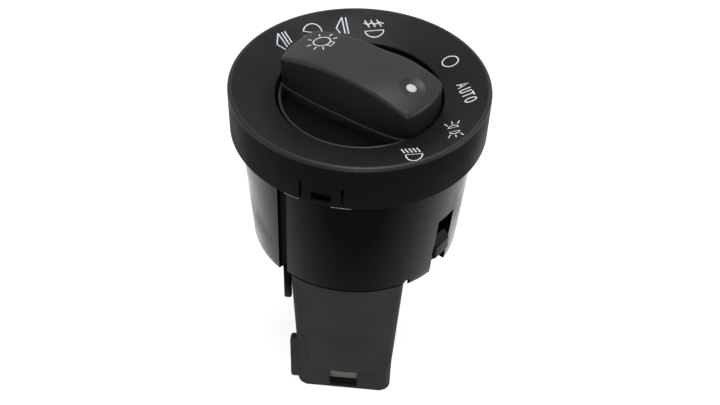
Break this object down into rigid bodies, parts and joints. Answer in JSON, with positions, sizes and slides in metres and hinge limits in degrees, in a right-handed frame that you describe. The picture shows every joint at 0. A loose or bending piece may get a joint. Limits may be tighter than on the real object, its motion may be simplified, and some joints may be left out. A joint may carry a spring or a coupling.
{
  "type": "headlight switch",
  "caption": "Round dashboard headlight switch: dished black face, pull-and-turn knob with an arched grip, gloss barrel with sprung lugs and a rear tower with the plug socket.",
  "frame": {"origin": "centre of the bounding box's bottom, on the knob's axis, level with the plug socket's end", "axes": "+Z along the knob's axis out of the face; -Y towards the side that faces the driver's knees, where the plug tower stands; +X to the driver's right"},
  "size_m": [0.076, 0.076, 0.1139],
  "materials": {
    "soft_black_plastic": "fine-grained soft satin",
    "grip_black_plastic": "fine-grained satin",
    "gloss_black_plastic": "glossy moulded",
    "dark_grey_plastic": "matt moulded",
    "brown_grey_plastic": "matt moulded",
    "white_plastic": "satin moulded",
    "milky_plastic": "clear with a milky tint",
    "lens_white": "glossy moulded",
    "spring_steel": "plain spring steel",
    "contact_copper": "bright stamped copper alloy",
    "tinned_copper": "tinned copper alloy",
    "board_green": "lacquered board"
  },
  "bodies": {
    "housing": {"rear_housing": "dark_grey_plastic", "barrel_housing": "gloss_black_plastic", "face_bezel": "soft_black_plastic", "bearing_plate": "white_plastic", "contact_plate": "brown_grey_plastic", "face_light_guide": "milky_plastic", "face_led_board": "board_green", "circuit_board": "board_green", "terminal_block": "brown_grey_plastic", "fog_contact": "contact_copper", "push_spring": "spring_steel", "detent_spring_left": "spring_steel", "detent_spring_right": "spring_steel", "lug_spring_front": "spring_steel", "lug_spring_back": "spring_steel", "face_led_1": "white_plastic", "face_led_2": "white_plastic", "face_led_3": "white_plastic", "face_led_4": "white_plastic", "face_led_5": "white_plastic", "face_led_6": "white_plastic", "contact_track_1": "contact_copper", "contact_track_2": "contact_copper", "contact_track_3": "contact_copper", "terminal_1": "tinned_copper", "terminal_2": "tinned_copper", "terminal_3": "tinned_copper", "terminal_4": "tinned_copper", "terminal_5": "tinned_copper", "terminal_6": "tinned_copper", "terminal_7": "tinned_copper", "terminal_8": "tinned_copper", "terminal_9": "tinned_copper", "terminal_10": "tinned_copper"},
    "rotor": {"turn_rotor": "white_plastic", "retaining_clip": "spring_steel", "wiper_1": "contact_copper", "wiper_2": "contact_copper", "wiper_3": "contact_copper"},
    "knob": {"rotary_knob": "grip_black_plastic", "pointer_lens": "lens_white", "knob_shaft": "white_plastic"},
    "fog_carriage": {"fog_carriage": "white_plastic", "fog_wiper": "contact_copper"},
    "front_lug": {"lock_lug_front": "dark_grey_plastic"},
    "back_lug": {"lock_lug_back": "dark_grey_plastic"}
  },
  "joints": [
    {"name": "knob_turn", "type": "hinge", "parent": "housing", "child": "rotor", "pos_m": [0, 0, 0.0812], "axis": [0, 0, 1], "range_deg": [-30, 60], "deforming": ["detent_spring_left", "detent_spring_right"]},
    {"name": "knob_pull", "type": "slide", "parent": "rotor", "child": "knob", "axis": [0, 0, 1], "range_m": [-0.0025, 0.008], "deforming": ["push_spring"]},
    {"name": "fog_slide", "type": "slide", "parent": "housing", "child": "fog_carriage", "axis": [0, 0, 1], "range_m": [-0.0025, 0.008]},
    {"name": "front_lug_slide", "type": "slide", "parent": "housing", "child": "front_lug", "axis": [-0.8339, 0.5519, 0], "range_m": [0, 0.0025], "stiffness_N_per_m": 400, "springref_m": -0.002, "deforming": ["lug_spring_front"]},
    {"name": "back_lug_slide", "type": "slide", "parent": "housing", "child": "back_lug", "axis": [0.8339, -0.5519, 0], "range_m": [0, 0.0025], "stiffness_N_per_m": 400, "springref_m": -0.002, "deforming": ["lug_spring_back"]}
  ],
  "couplings": [
    {"joint": "fog_slide", "follows": "knob_pull", "ratio": 1}
  ]
}
